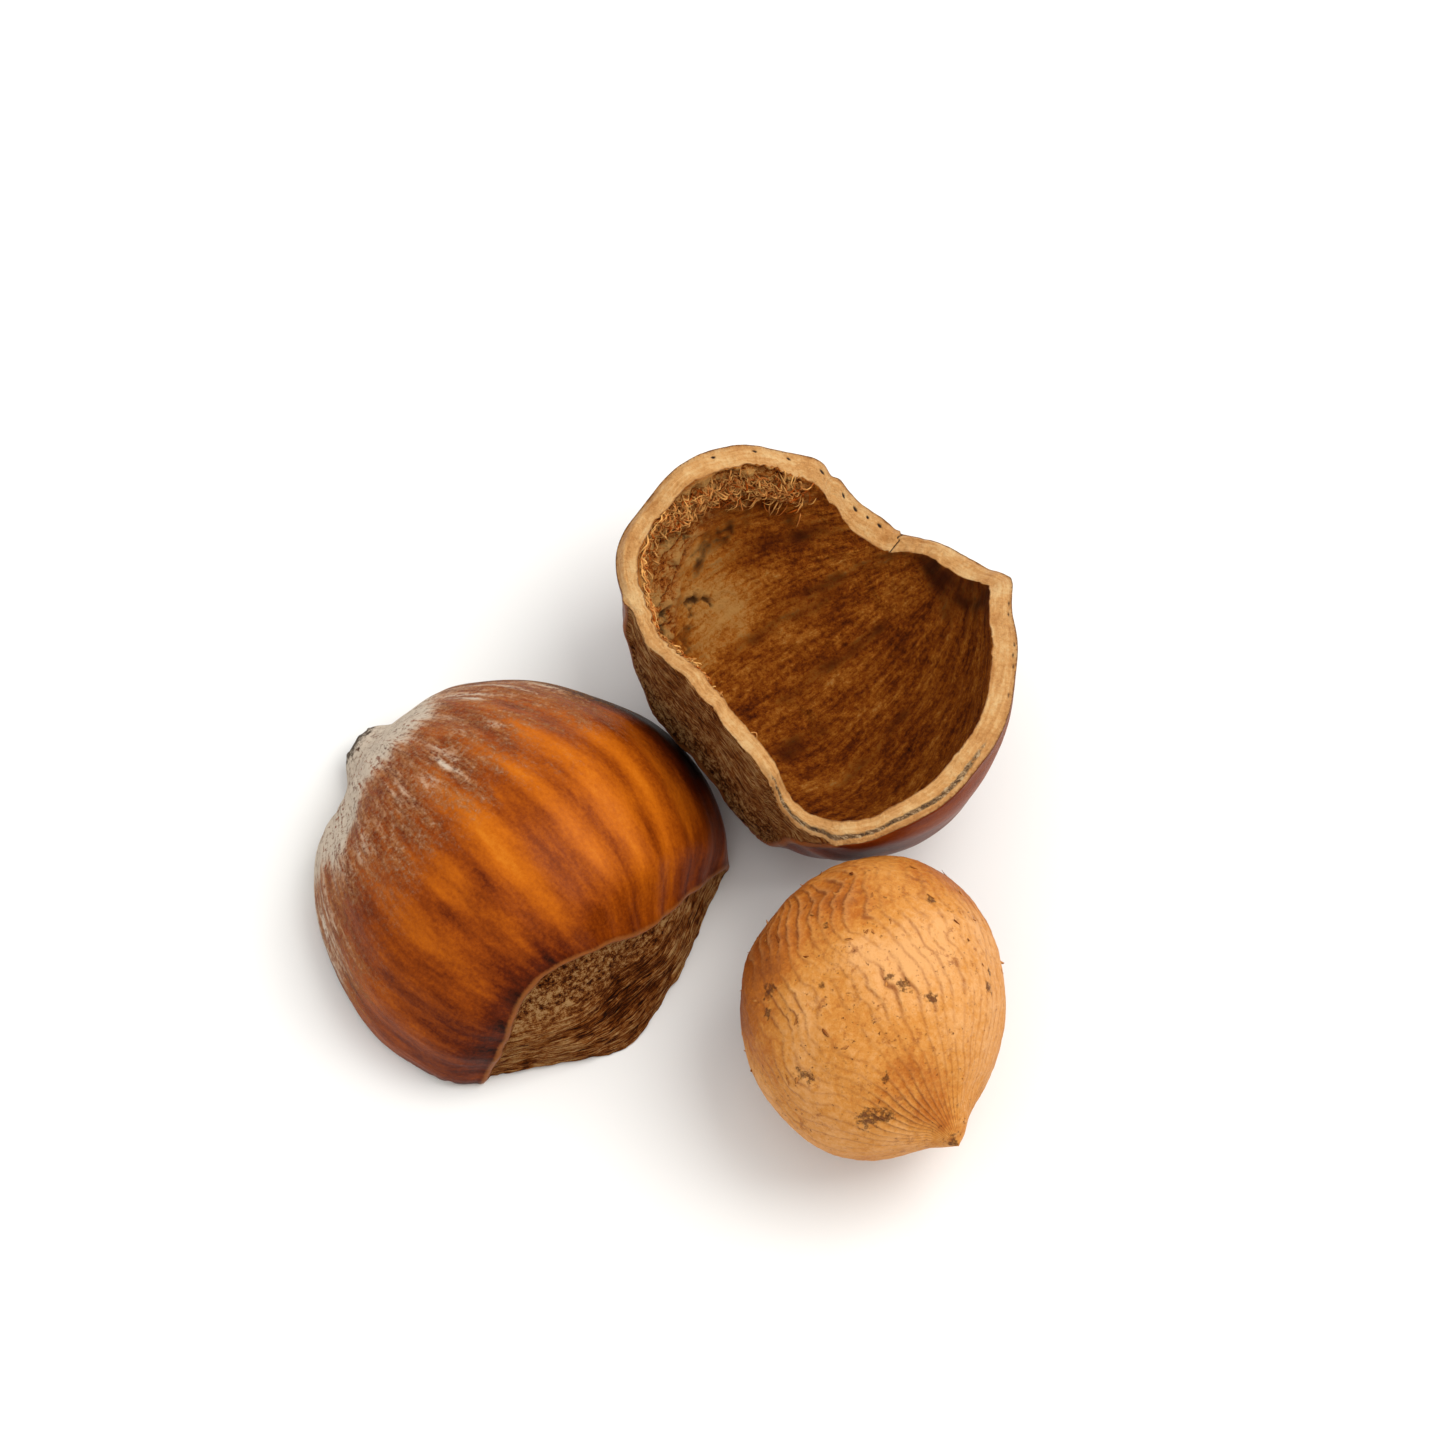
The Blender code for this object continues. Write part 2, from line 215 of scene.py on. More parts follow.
def rough(points, size, seed, layers=3):
    """Lumps of several sizes together."""
    size = np.asarray(size, float)
    return sum(lumps(points, size / 2**k, seed + k) / 1.7**k for k in range(layers))


def direction(theta, phi):
    """Unit vectors (towards the tip, across, out of the crack plane) for angles in radians."""
    return np.stack([np.cos(phi) * np.cos(theta), np.cos(phi) * np.sin(theta), np.sin(phi)], axis=-1)


def axis_direction(from_tip, around):
    """Unit vectors for angles from the tip and round the long axis, in radians."""
    return np.stack([np.cos(from_tip), np.sin(from_tip) * np.cos(around), np.sin(from_tip) * np.sin(around)],
                    axis=-1)


def axis_angles(n):
    """Degrees from the tip and degrees round the long axis."""
    from_tip = np.degrees(np.arccos(np.clip(n[..., 0], -1, 1)))
    around = np.degrees(np.arctan2(n[..., 2], n[..., 1]))
    return from_tip, around


def crack_angles(n):
    """Degrees round the crack and degrees out of it."""
    return np.degrees(np.arctan2(n[..., 1], n[..., 0])), np.degrees(np.arcsin(np.clip(n[..., 2], -1, 1)))


def lengthwise(n):
    """Coordinates in millimetres for grain that runs from tip to base."""
    from_tip, around = axis_angles(n)
    turn_round = np.radians(around)
    across, out = GRAIN_GIRTH * np.cos(turn_round), GRAIN_GIRTH * np.sin(turn_round)
    return np.stack([across, out, from_tip / DEGREES_PER_MM], axis=-1)


def rimwise(n):
    """Coordinates in millimetres for grain that runs along the crack."""
    theta, phi = crack_angles(n)
    turn_round = np.radians(theta)
    across, along = LINING_SIZE * np.cos(turn_round), LINING_SIZE * np.sin(turn_round)
    return np.stack([across, along, phi / DEGREES_PER_MM], axis=-1)


def egg_radius(n, profile):
    """Distance of the surface from the centre for a flattened body with this profile."""
    q = n / np.array([1.0, 1.0, DEPTH_SHARE])
    size = np.linalg.norm(q, axis=-1)
    from_tip = np.degrees(np.arccos(np.clip(q[..., 0] / size, -1, 1)))
    return smooth_curve(from_tip, profile) / size


def bumps(n, rows):
    """Sum of the local swellings and hollows."""
    total = np.zeros(n.shape[:-1])
    for round_crack, out_of_crack, height, spread in rows:
        centre = direction(math.radians(round_crack), math.radians(out_of_crack))
        off = np.degrees(np.arccos(np.clip(n @ centre, -1, 1)))
        total = total + height * np.exp(-(off / spread)**2)
    return total


def corner_ridge(n, corner):
    """Sharp bend of the wall that fades away from the crack."""
    if corner is None:
        return 0.0
    at, height, width = corner
    theta, phi = crack_angles(n)
    return height * np.exp(-np.abs(theta - at) / width) * fade(phi, -42, -12)


def shell_radius(n, half):
    """Plain shell surface, without nib, ribs or scar."""
    along, across = n[..., 0], n[..., 1]
    lean, skew, breadth = half["lobes"]
    egg = egg_radius(n, SIDE_PROFILE + half["base"])
    egg = egg * (1 + lean * across + skew * along * across + breadth * across**2)
    return egg + bumps(n, half["bumps"]) + corner_ridge(n, half["corner"])


def past_scar_edge(n):
    """Degrees past the edge of the scar, with the small irregularities of its outline."""
    from_tip, around = axis_angles(n)
    return from_tip - round_curve(around, SCAR_EDGE) + 0.5 * lumps(n * SHELL_SIZE, 0.9, 31)


def outer_radius(n, half):
    """Outer face of the shell with its nib, ribs, lip and rough scar."""
    from_tip, around = axis_angles(n)
    _, phi = crack_angles(n)
    past = past_scar_edge(n)
    points = n * SHELL_SIZE
    scar = fade(past, -0.2, 1.2)
    lip = 0.10 * np.exp(-((past + 1.1) / 1.2)**2)
    start, full = NIB_FLARE
    nib = NIB_HEIGHT * fade(from_tip, start, full)**1.3
    worn = 0.16 * lumps(points, 0.4, 5) - 0.18 * fade(from_tip, 4, 1)
    nib_end = fade(from_tip, 5.6, 4.4) * worn
    ribs = RIB_HEIGHT * np.sin(np.radians(RIB_COUNT * around)) * fade(from_tip, 12, 35)
    fine = 0.018 * rough(lengthwise(n), (0.6, 0.6, 3.0), 11) * fade(from_tip, 8, 25)
    fine = fine + 0.03 * lumps(points, 2.6, 12)
    near_rim = fade(np.abs(phi), 34, 16)
    fibres = 0.11 * rough(rimwise(n), (1.6, 1.6, 0.28), 22)
    crust = 0.11 * rough(points, 0.75, 21)
    relief = fibres * near_rim + crust * (1 - 0.6 * near_rim)
    return (shell_radius(n, half) + nib + nib_end + lip + (ribs + fine) * (1 - scar)
            + (relief - SCAR_DEPTH) * scar)


def torn_lining(n):
    """1 where the lining of the open half is torn into fibres, 0 elsewhere."""
    theta, phi = crack_angles(n)
    below = round_curve(theta, OPEN_RIM) - phi
    ring = fade(theta, 50, 66) * fade(theta, 172, 156)
    depth = round_curve(theta, TORN_DEPTH)
    ragged = 6 * lumps(n * SHELL_SIZE, 1.1, 41)
    return ring * fade(below + ragged, depth + 2, depth - 5) * fade(below, -1, 1.5)


def lining_pits(n):
    """Depth of the hollows under the torn lining, in millimetres."""
    warped = n + 0.06 * np.stack([rough(n * SHELL_SIZE, 1.1, 42 + 5 * k) for k in range(3)], axis=-1)
    total = np.zeros(n.shape[:-1])
    for round_crack, out_of_crack, depth, spread in LINING_PITS:
        centre = direction(math.radians(round_crack), math.radians(out_of_crack))
        off = np.degrees(np.linalg.norm(warped - centre, axis=-1))
        total = np.maximum(total, depth * fade(off, spread * 1.3, spread * 0.6))
    return total


def torn_clumps(n):
    """How far the clumps of torn fibres stand over their cavities, in millimetres."""
    large = np.abs(rough(rimwise(n), (1.2, 1.2, 0.55), 61))
    return 0.46 * large + 0.20 * np.abs(rough(n * LINING_SIZE, 0.4, 63, 2))


def inner_radius(n, half, torn):
    """Inner face of the shell with its fibrous lining."""
    theta, _ = crack_angles(n)
    points = n * LINING_SIZE
    lining = 0.05 * rough(lengthwise(n), (0.8, 0.8, 4.0), 51) + 0.055 * rough(points, 0.45, 52)
    plain = shell_radius(n, half) - round_curve(theta, half["wall"])
    return plain - lining - torn * (torn_clumps(n) - 0.16) + lining_pits(n)


def turn(pose):
    """Columns are the body's own axes (tip, across, out) in the world."""
    yaw, pitch, roll = (math.radians(pose[key]) for key in ("yaw", "pitch", "roll"))
    cos, sin = math.cos, math.sin
    about_z = np.array([(cos(yaw), -sin(yaw), 0), (sin(yaw), cos(yaw), 0), (0, 0, 1)])
    about_y = np.array([(cos(pitch), 0, -sin(pitch)), (0, 1, 0), (sin(pitch), 0, cos(pitch))])
    about_x = np.array([(1, 0, 0), (0, cos(roll), -sin(roll)), (0, sin(roll), cos(roll))])
    return about_z @ about_y @ about_x


def place(points, pose):
    """Points from a body's own frame to the table, none below it."""
    placed = points @ turn(pose).T + np.array(pose["at"]) - np.array([*GROUP_MIDDLE, 0])
    placed[..., 2] = np.maximum(placed[..., 2], 0)
    return placed


def crack_columns(count, closer):
    """Angles round the crack; closer is rows of (degrees, spread, how much denser)."""
    fine = np.linspace(-180, 180, 7201)
    density = np.ones_like(fine)
    for middle, spread, more in closer:
        density += more * hump(fine, middle, spread)
    reached = np.concatenate([[0], np.cumsum((density[1:] + density[:-1]) / 2)])
    return np.radians(np.interp(np.linspace(0, reached[-1], count, endpoint=False), reached, fine))


def ring_noise(theta, size, seed):
    """Noise round the crack that closes on itself; size in millimetres."""
    return rough(direction(theta, np.zeros_like(theta)) * SHELL_SIZE, size, seed)


def domed_crack(theta):
    """Angle out of the crack plane at which the rim has its height over the table, with small chips."""
    degrees = np.degrees(theta)
    chips = 0.10 * np.maximum(ring_noise(theta, 0.8, 71) - 0.1, 0)
    corner_chip = 0.35 * hump(degrees, 122.5, 1.3) + 0.2 * hump(degrees, 118, 0.9)
    height = round_curve(degrees, DOMED_RIM) + chips + corner_chip
    upright = turn(DOMED_POSE)[2]
    phi = np.zeros_like(theta)
    for _ in range(12):
        n = direction(theta, phi)
        z = DOMED_POSE["at"][2] + outer_radius(n, DOMED_HALF) * (n @ upright)
        phi = phi + (height - z) / SHELL_SIZE
    return phi


def open_crack(theta):
    """Angle out of the crack plane of the open half's rim, with its step, notches and splinters."""
    degrees = np.degrees(theta)
    waves = np.sin(9 * theta + 1.0) + 0.7 * np.sin(16 * theta)
    step = 0.7 * fade(degrees, NOTCH_CRACK - 0.3, NOTCH_CRACK + 0.3) * fade(degrees, 45, 25)
    notches = 0.8 * hump(degrees, 46, 1.5) - 1.3 * hump(degrees, 49, 1.5)
    nub = 1.2 * hump(degrees, -147, 3)
    fine = 0.35 * ring_noise(theta, 1.2, 72)
    return np.radians(round_curve(degrees, OPEN_RIM) + RIM_WAVE * waves + step + notches + nub + fine)


def edge_marks(theta, across):
    """Strength of the pores, the hairline and the open layer in the open half's broken edge."""
    degrees = np.degrees(theta)
    pores = np.zeros(np.broadcast(degrees, across).shape)
    for k, at in enumerate(PORES):
        off = ((degrees - at) / (0.85 + 0.25 * math.sin(3 * k)))**2
        pores = pores + np.exp(-off - ((across - 0.33 - 0.04 * math.sin(5 * k)) / 0.075)**2)
    for k, at in enumerate(DASHES):
        off = ((degrees - at) / 1.5)**2
        pores = pores + 0.8 * np.exp(-off - ((across - 0.13 - 0.05 * (k % 2)) / 0.05)**2)
    bend = NOTCH_CRACK + 1.8 * (across - 0.45) - 1.3 * fade(across, 0.35, 0.45)
    hairline = np.exp(-((degrees - bend) / 0.26)**2)
    layer = np.exp(-((across - 0.32 - 0.03 * np.sin(9 * theta)) / 0.10)**2)
    layer = layer * fade(degrees, -151, -143) * fade(degrees, -64, -92)
    return np.clip(pores, 0, 1), hairline, layer


def shell_grid(half, theta, crack, side, counts):
    """One half's points in rows from the middle outside, over the broken edge, to the middle inside."""
    outside, band, inside = counts
    up = side * math.pi / 2
    degrees = np.degrees(theta)
    drops = [np.zeros_like(theta), np.zeros_like(theta)]
    if side < 0:
        drops = [round_curve(degrees, rows) / SHELL_SIZE for rows in (OUTER_DROP, INNER_DROP)]
    outer_edge, inner_edge = (crack + side * drop for drop in drops)
    t_out = np.linspace(1, 0, outside + 1)[1:, None]**1.1
    t_in = np.linspace(0, 1, inside + 1)[:-1, None]**1.1
    across = np.linspace(0, 1, band + 2)[1:-1, None]
    n_out = direction(theta, outer_edge + (up - outer_edge) * t_out)
    n_in = direction(theta, inner_edge + (up - inner_edge) * t_in)
    torn_in = torn_lining(n_in) if side < 0 else np.zeros(n_in.shape[:-1])
    outer = outer_radius(n_out, half)
    inner = inner_radius(n_in, half, torn_in)
    points = direction(theta, crack * np.ones_like(across)) * SHELL_SIZE
    dip = 0.03 * rough(points + across[..., None] * 1.3, 0.5, 81) - 0.05 * (np.abs(across * 2 - 1))**6
    pores, hairline, layer = edge_marks(theta, across)
    if side < 0:
        dip = dip - 0.16 * pores - 0.15 * hairline - 0.12 * layer
    slope = drops[0] * (1 - fade(across, 0, 0.38)) + drops[1] * across**1.4
    n_band = direction(theta * np.ones_like(across), crack + side * slope - side * dip / SHELL_SIZE)
    radius = outer[-1] * (1 - across) + inner[0] * across
    rows = np.concatenate([n_out * outer[..., None], n_band * radius[..., None], n_in * inner[..., None]])
    none_out, none_in = np.zeros_like(outer), np.zeros_like(inner)
    shown = 1.0 if side < 0 else 0.0
    facts = {
        "wall": np.concatenate([none_out, across * np.ones_like(theta), none_in + 1]),
        "dark": np.concatenate([none_out, shown * np.clip(pores + hairline, 0, 1), none_in]),
        "layer": np.concatenate([none_out, shown * layer, none_in]),
        "torn": np.concatenate([none_out, np.zeros_like(radius), torn_in]),
        "clumps": np.concatenate([none_out, np.zeros_like(radius), torn_clumps(n_in)]),
    }
    middle = np.array([[0.0, 0.0, side]])
    start = middle * outer_radius(middle, half)[:, None]
    end = middle * inner_radius(middle, half, np.zeros(1))[:, None]
    zones = [0] * (outside - 1) + [1] * (band + 1) + [2] * (inside - 1)
    return start, rows, end, facts, zones


def domed_tone_and_shade(n):
    """How light the domed half's shell is, with its stripes from tip to base and painted shade along the side
    next to the open half.
    """
    from_tip, around = axis_angles(n)
    wander = around + 2.2 * lumps(lengthwise(n), (2.5, 2.5, 5.0), 101)
    full = fade(from_tip, 45, 88) * fade(from_tip, 134, 112)
    tone = 0.38 + 0.07 * hump(around, 108, 34) * fade(from_tip, 55, 100)
    flames = fade(lumps(lengthwise(n), (1.5, 1.5, 9.0), 105), -0.35, 0.45)
    tone = tone - 0.10 * flames * fade(past_scar_edge(n), -26, -4)
    for at, width, lighter in STRIPES:
        tone = tone + lighter * hump(wander, at, width) * full
    tone = tone - 0.06 * fade(around, 76, 40) * fade(from_tip, 88, 120)
    # Painted shade along the side that faces the open half, darkest where the two halves meet.
    tone = tone - 0.58 * fade(around, 138, 164) * fade(from_tip, 118, 92)
    tone = tone - 0.10 * fade(past_scar_edge(n), -14, -2) * fade(around, 100, 70)
    return tone + 0.05 * rough(lengthwise(n), (0.9, 0.9, 3.5), 102) + 0.04 * lumps(n * SHELL_SIZE, 1.6, 103)


def open_tone(n):
    """The open half is turned so that mostly a dark red-brown flank shows."""
    from_tip, around = axis_angles(n)
    tone = 0.32 + 0.10 * fade(from_tip, 115, 80) + 0.05 * np.sin(np.radians(around) * 22)
    return tone + 0.05 * rough(lengthwise(n), (0.9, 0.9, 3.5), 104)


def domed_frost(n):
    """How much of the shell is covered by pale down: all of it round the nib, less towards the flanks; the
    extra down on the edge-on flanks is partly painted sheen.
    """
    from_tip, around = axis_angles(n)
    edge = 41 + 12 * fade(around, 62, 46) - 10 * fade(around, 105, 128)
    edge = edge + 4.0 * rough(lengthwise(n), (0.7, 0.7, 5.0), 111)
    crown = fade(from_tip, edge + 18, edge - 12)
    strands = 0.45 * rough(lengthwise(n), (0.5, 0.5, 3.0), 113)
    veil = 0.56 * fade(from_tip, 106, 50) * (1 + strands) + 0.08 * lumps(n * SHELL_SIZE, 2.4, 112)
    # Extra pale cover on the two flanks, where the shell is seen edge-on: real down, partly painted sheen of
    # the down at a grazing view.
    left = 0.60 * fade(around, 48, 18) * fade(from_tip, 112, 70)
    right = 0.44 * fade(around, 108, 138) * fade(around, 168, 148)
    right = right * fade(from_tip, 104, 60)
    flank_down_and_sheen = np.maximum(left, right) * (1 + strands)
    return np.clip(np.maximum(crown, np.maximum(veil, flank_down_and_sheen)), 0, 1)


def open_frost(n):
    """The open half's down, round its own tip and thinner along its sides."""
    from_tip, _ = axis_angles(n)
    return 0.9 * fade(from_tip, 50, 30) + 0.3 * fade(from_tip, 110, 60)


def under_torn(n):
    """Strength of the dark band just below the torn lining."""
    theta, phi = crack_angles(n)
    below = round_curve(theta, OPEN_RIM) - phi - round_curve(theta, TORN_DEPTH)
    below = below + 4 * lumps(n * LINING_SIZE, 1.6, 124)
    ring = fade(theta, 50, 66) * fade(theta, 138, 116)
    return ring * fade(below, -5, 2) * fade(below, 15, 5)


def lining_streaks_and_shade(n):
    """How dark the lining is: its streaks, the tip end, darker partly as its colour and partly as painted
    shade, and painted shade in the hollows.
    """
    from_tip, around = axis_angles(n)
    wander = around + 2.5 * lumps(lengthwise(n), (2.0, 2.0, 4.0), 121)
    # The tip end is darker, partly as its colour and partly as painted shade.
    shade = 0.75 * fade(from_tip + 4 * lumps(n * LINING_SIZE, 1.6, 122), 40, 24)
    for at, low, high, width in LINING_STREAKS:
        length = fade(from_tip, low - 6, low + 5) * fade(from_tip, high + 6, high - 5)
        shade = np.maximum(shade, 0.62 * hump(wander, at, width) * length)
    shade = np.maximum(shade, under_torn(n) * (0.36 + 0.7 * rough(n * LINING_SIZE, 0.9, 125)))
    shade = shade * (0.75 + 0.5 * lumps(n * LINING_SIZE, 0.9, 123))
    # Painted shade in the hollows under the torn lining.
    return np.clip(np.maximum(shade, 2.6 * lining_pits(n)), 0, 1)


def lining_lit_patch(n):
    """How much lighter the lining is painted near the middle on the left, as painted light on the wall that
    faces the window.
    """
    from_tip, around = axis_angles(n)
    belt = fade(from_tip, 66, 92) * fade(from_tip, 122, 104)
    side = fade(around, -84, -58) * fade(around, -14, -30)
    return 0.30 * belt * side * (0.7 + 0.6 * lumps(lengthwise(n), (1.4, 1.4, 2.2), 131))


def shell_facts(rows, tone, frost):
    """Values that the shell's materials read at each point, from its place in the nut."""
    n = rows / np.linalg.norm(rows, axis=-1, keepdims=True)
    from_tip, _ = axis_angles(n)
    theta, phi = crack_angles(n)
    # Painted shade in the hollow of the scar at the base.
    basin = hump(theta, 178, 15) * hump(phi, 17, 11)
    return {
        "grain": lengthwise(n),
        "rim_grain": rimwise(n),
        "from_tip": from_tip / 100,
        "past_scar": past_scar_edge(n) / 10,
        "tone": tone(n),
        "frost": frost(n),
        "shade": lining_streaks_and_shade(n),
        "pale": lining_lit_patch(n),
        "basin": basin,
        "near_rim": fade(np.abs(phi), 34, 16),
    }


def grid_object(name, start, rows, end, facts, zones, materials):
    """Closed mesh from a start point, rows of points and an end point, with its facts at each point."""
    count, columns = rows.shape[:2]
    points = np.concatenate([start, rows.reshape(-1, 3), end])
    index = 1 + np.arange(count * columns).reshape(count, columns)
    after = np.roll(index, -1, axis=1)
    quads = np.stack([index[:-1], index[1:], after[1:], after[:-1]], axis=-1).reshape(-1, 4)
    first = np.stack([np.zeros(columns, int), index[0], after[0]], axis=-1)
    last = np.stack([index[-1], np.full(columns, len(points) - 1), after[-1]], axis=-1)
    mesh = bpy.data.meshes.new(name)
    mesh.from_pydata((points * MM).tolist(), [], first.tolist() + quads.tolist() + last.tolist())
    zone = np.concatenate([[zones[0]] * columns, np.repeat(zones, columns), [zones[-1]] * columns])
    for made in materials:
        mesh.materials.append(made)
    mesh.polygons.foreach_set("material_index", zone.astype(np.int32))
    for key, values in facts.items():
        add_fact(mesh, key, values)
    return add_smooth_object(name, mesh)


def add_smooth_object(name, mesh):
    """Puts the mesh in the scene with smooth shading."""
    mesh.update()
    mesh.shade_smooth()
    item = bpy.data.objects.new(name, mesh)
    bpy.context.scene.collection.objects.link(item)
    return item


def add_fact(mesh, key, values):
    """Stores values for the start point, each row and the end point as a mesh attribute."""
    if values.ndim == 3:
        flat = np.concatenate([values[:1, 0], values.reshape(-1, 3), values[-1:, 0]])
        mesh.attributes.new(key, "FLOAT_VECTOR", "POINT").data.foreach_set("vector", flat.ravel())
    else:
        flat = np.concatenate([values[0, :1], values.ravel(), values[-1, :1]])
        mesh.attributes.new(key, "FLOAT", "POINT").data.foreach_set("value", flat)


def strands_object(name, paths, outward, width, thickness, tones, material):
    """Closed tapered strands along paths (strand, point, xyz); width and thickness are half sizes."""
    count, length = paths.shape[:2]
    sides = 3
    along = np.gradient(paths, axis=1)
    along /= np.linalg.norm(along, axis=-1, keepdims=True)
    flat = np.cross(along, outward)
    flat /= np.linalg.norm(flat, axis=-1, keepdims=True)
    upright = np.cross(along, flat)
    angles = np.arange(sides) * 2 * math.pi / sides
    ring = (np.cos(angles)[:, None] * flat[:, :, None] * width[:, :, None, None]
            + np.sin(angles)[:, None] * upright[:, :, None] * thickness[:, :, None, None])
    points = (paths[:, :, None] + ring).reshape(-1, 3)
    base = np.arange(count)[:, None, None] * length * sides
    row = np.arange(length - 1)[None, :, None] * sides
    side = np.arange(sides)[None, None, :]
    after = (side + 1) % sides
    this, ahead = base + row, base + row + sides
    quads = np.stack([this + side, this + after, ahead + after, ahead + side], axis=-1).reshape(-1, 4)
    caps = np.concatenate([base[:, 0] + side[0, :, ::-1], base[:, 0] + (length - 1) * sides + side[0]])
    mesh = bpy.data.meshes.new(name)
    mesh.from_pydata((points * MM).tolist(), [], quads.tolist() + caps.tolist())
    mesh.materials.append(material)
    values = np.repeat(tones, length * sides)
    mesh.attributes.new("tone", "FLOAT", "POINT").data.foreach_set("value", values)
    return add_smooth_object(name, mesh)


def linear(red, green, blue):
    """Pigment of a surface that looks this colour (0 to 255) in the window's light."""
    shares = [c / 255 for c in (red, green, blue)]
    shares = [c / 12.92 if c <= 0.04045 else ((c + 0.055) / 1.055)**2.4 for c in shares]
    return [c / LIGHT_LEVEL for c in shares] + [1.0]


class Look:
    """A material under construction."""

    def __init__(self, name, **fixed):
        self.material = bpy.data.materials.new(name)
        self.material.use_nodes = True
        self.nodes = self.material.node_tree.nodes
        self.links = self.material.node_tree.links
        self.surface = self.nodes["Principled BSDF"]
        for key, value in fixed.items():
            self.surface.inputs[key.replace("_", " ")].default_value = value

    def put(self, kind, inputs, **settings):
        """New node with its settings, and each input linked or set."""
        made = self.nodes.new(kind)
        for key, value in settings.items():
            setattr(made, key, value)
        for key, value in inputs.items():
            if isinstance(value, bpy.types.NodeSocket):
                self.links.new(value, made.inputs[key])
            else:
                made.inputs[key].default_value = value
        return made

    def fact(self, name, vector=False):
        """The value stored at each point of the mesh."""
        made = self.put("ShaderNodeAttribute", {}, attribute_name=name)
        return made.outputs["Vector" if vector else "Fac"]

    def place_mm(self):
        place = self.put("ShaderNodeTexCoord", {}).outputs["Object"]
        return self.stretch(place, (1000, 1000, 1000))

    def stretch(self, vector, factors):
        return self.put("ShaderNodeVectorMath", {0: vector, 1: factors}, operation="MULTIPLY").outputs[0]

    def shift(self, vector, value, factors):
        """The vector moved by a value times the factors."""
        inputs = {0: value, 1: factors, 2: vector}
        return self.put("ShaderNodeVectorMath", inputs, operation="MULTIPLY_ADD").outputs[0]

    def noise(self, vector, scale, detail, roughness):
        """Noise spread over 0 to 1, with 0.5 as its middle."""
        inputs = {"Vector": vector, "Scale": scale, "Detail": detail, "Roughness": roughness}
        made = self.put("ShaderNodeTexNoise", inputs).outputs[0]
        return self.plus(0.5, (made, 2.2))

    def sums(self, operation, a, b):
        return self.put("ShaderNodeMath", {0: a, 1: b}, operation=operation).outputs[0]

    def plus(self, *values):
        """Sum of the values; a pair is a value and its share, taken about the middle of a noise."""
        total = None
        for value in values:
            if isinstance(value, tuple):
                value = self.sums("MULTIPLY", self.sums("SUBTRACT", value[0], 0.5), value[1])
            total = value if total is None else self.sums("ADD", total, value)
        return total

    def times(self, a, b):
        return self.sums("MULTIPLY", a, b)

    def between(self, value, low, high):
        """0 at low and 1 at high, smooth and clamped."""
        inputs = {"Value": value, "From Min": low, "From Max": high, "To Min": 0.0, "To Max": 1.0}
        return self.put("ShaderNodeMapRange", inputs, interpolation_type="SMOOTHSTEP").outputs[0]

    def ramp(self, value, stops):
        """Colour for a value, from stops of (value, colour)."""
        made = self.put("ShaderNodeValToRGB", {"Fac": value})
        elements = made.color_ramp.elements
        while len(elements) < len(stops):
            elements.new(0.5)
        for element, (position, colour) in zip(elements, stops):
            element.position = position
            element.color = linear(*colour)
        return made.outputs["Color"]

    def mix(self, share, a, b):
        """Colour a with a share of colour b over it."""
        made = self.put("ShaderNodeMix", {0: share}, data_type="RGBA")
        for slot, value in ((6, a), (7, b)):
            if isinstance(value, bpy.types.NodeSocket):
                self.links.new(value, made.inputs[slot])
            else:
                made.inputs[slot].default_value = linear(*value)
        return made.outputs[2]

    def paint(self, base, colour, value, low, high, share):
        """The base with a share of the colour where the value goes from low to high."""
        return self.mix(self.times(self.between(value, low, high), share), base, colour)

    def bump(self, height, distance):
        return self.put("ShaderNodeBump", {"Height": height, "Distance": distance}).outputs[0]

    def finish(self, **sockets):
        """Links the named sockets of the surface and returns the material."""
        for key, value in sockets.items():
            self.links.new(value, self.surface.inputs[key.replace("_", " ")])
        return self.material


def crust_colour(look, place, middle):
    """Mottled scar: tan and dark spots, drawn out along the rim near it, and painted shade in the basin, the
    hollow at the base.
    """
    rim_grain = look.fact("rim_grain", vector=True)
    dashes = look.noise(look.stretch(rim_grain, (0.8, 0.8, 6.0)), 1.0, 5.0, 0.75)
    threads = look.noise(look.stretch(rim_grain, (0.8, 0.8, 16.0)), 1.0, 4.0, 0.7)
    spots = look.noise(place, 2.5, 6.0, 0.85)
    patches = look.noise(place, 0.75, 3.0, 0.6)
    near = look.fact("near_rim")
    drawn = look.plus((dashes, 0.6), (threads, 0.95), (spots, 0.4))
    mottled = look.plus((spots, 1.75), (dashes, 0.35))
    detail = look.plus(look.times(drawn, near), look.times(mottled, look.sums("SUBTRACT", 1.0, near)))
    # Painted shade in the basin.
    basin = look.times(look.fact("basin"), -0.26)
    value = look.plus(middle, detail, (patches, 0.3), basin)
    colour = look.ramp(value, ((0.16, (28, 8, 1)), (0.36, (94, 38, 4)), (0.52, (148, 76, 20)),
                               (0.68, (198, 124, 60)), (0.92, (246, 190, 124))))
    return colour, value


